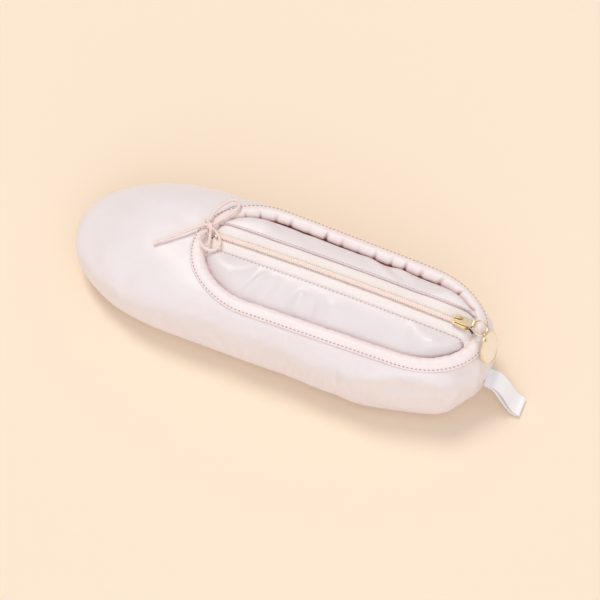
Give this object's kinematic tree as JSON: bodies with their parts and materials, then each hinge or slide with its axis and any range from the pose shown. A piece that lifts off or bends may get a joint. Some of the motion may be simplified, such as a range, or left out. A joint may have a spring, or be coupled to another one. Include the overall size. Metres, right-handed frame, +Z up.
{
  "type": "ballet slipper zip pouch",
  "caption": "Padded satin zip pouch in the shape of a ballet slipper, with a drawstring bow, an inset zip with a ring and disc charm, and a ribbon loop.",
  "frame": {"origin": "on the resting face of the sole, at the middle of the body's length and width", "axes": "+X runs from the toe to the heel, +Y to the far side of the zip, +Z up from the sole"},
  "size_m": [0.274, 0.089, 0.0571],
  "materials": {
    "satin": "blush polyester satin with a soft sheen",
    "lining": "plain woven polyester lining",
    "wadding": "white polyester wadding",
    "binding": "peach-blush satin bias binding, folded and stitched",
    "cord": "round braided elastic cord in peach",
    "tape": "woven polyester zip tape",
    "coil": "moulded nylon zip coil in peach",
    "gold": "polished light gold plating on die-cast zinc",
    "pale_gold": "pale gold plated disc, polished",
    "ribbon": "double-faced satin ribbon, nearly white"
  },
  "bodies": {
    "pouch": {"upper_satin": "satin", "upper_wadding": "wadding", "upper_lining": "lining", "sole_outer": "satin", "sole_pad": "wadding", "sole_lining": "lining", "throat_binding": "binding", "drawstring_cord": "cord", "bow_knot": "cord", "bow_loop_near": "cord", "bow_loop_far": "cord", "bow_tail_long": "cord", "bow_tail_short": "cord", "zip_bottom_stop": "gold"},
    "zip_near_side": {"zip_panel_near": "satin", "zip_tape_near": "tape", "zip_coil_near": "coil", "zip_top_stop_near": "gold"},
    "zip_far_side": {"zip_panel_far": "satin", "zip_tape_far": "tape", "zip_coil_far": "coil", "zip_top_stop_far": "gold"},
    "slider": {"slider_body": "gold"},
    "pull": {"pull_tab": "gold"},
    "ring": {"jump_ring": "gold"},
    "link": {"charm_link": "gold"},
    "charm": {"charm_disc": "pale_gold"},
    "ribbon": {"heel_ribbon": "ribbon"}
  },
  "joints": [
    {"name": "zip_travel", "type": "hinge", "parent": "pouch", "child": "slider", "pos_m": [0.0345, 0.0042, -1.0464], "axis": [0, -1, 0], "range_deg": [0, 6.1], "deforming": ["throat_binding", "drawstring_cord", "upper_lining"]},
    {"name": "near_side_opens", "type": "hinge", "parent": "pouch", "child": "zip_near_side", "pos_m": [0.0345, -0.0246, 0.0443], "axis": [1, 0, 0], "range_deg": [0, 40.5], "deforming": ["zip_panel_near", "zip_tape_near", "zip_coil_near", "zip_top_stop_near"]},
    {"name": "far_side_opens", "type": "hinge", "parent": "pouch", "child": "zip_far_side", "pos_m": [0.0345, 0.0286, 0.0443], "axis": [-1, 0, 0], "range_deg": [0, 40.5], "deforming": ["zip_panel_far", "zip_tape_far", "zip_coil_far", "zip_top_stop_far"]},
    {"name": "pull_swing", "type": "hinge", "parent": "slider", "child": "pull", "pos_m": [0.10191, 0.0042, 0.05489], "axis": [0, -1, 0], "range_deg": [0, 165]},
    {"name": "ring_swing", "type": "hinge", "parent": "pull", "child": "ring", "pos_m": [0.11129, 0.0042, 0.0543], "axis": [0, -1, 0], "range_deg": [0, 90]},
    {"name": "link_swing", "type": "hinge", "parent": "ring", "child": "link", "pos_m": [0.11834, 0.00168, 0.05227], "axis": [-0.6157, -0.788, 0], "range_deg": [0, 60]},
    {"name": "charm_swing", "type": "hinge", "parent": "link", "child": "charm", "pos_m": [0.11987, 0.00048, 0.04952], "axis": [-0.0349, -0.9994, 0], "range_deg": [0, 30]},
    {"name": "ribbon_lift", "type": "hinge", "parent": "pouch", "child": "ribbon", "pos_m": [0.1272, -0.004, 0.0192], "axis": [0, -1, 0], "range_deg": [0, 70]}
  ],
  "couplings": [
    {"joint": "near_side_opens", "follows": "zip_travel", "ratio": 6.6},
    {"joint": "far_side_opens", "follows": "zip_travel", "ratio": 6.6}
  ]
}
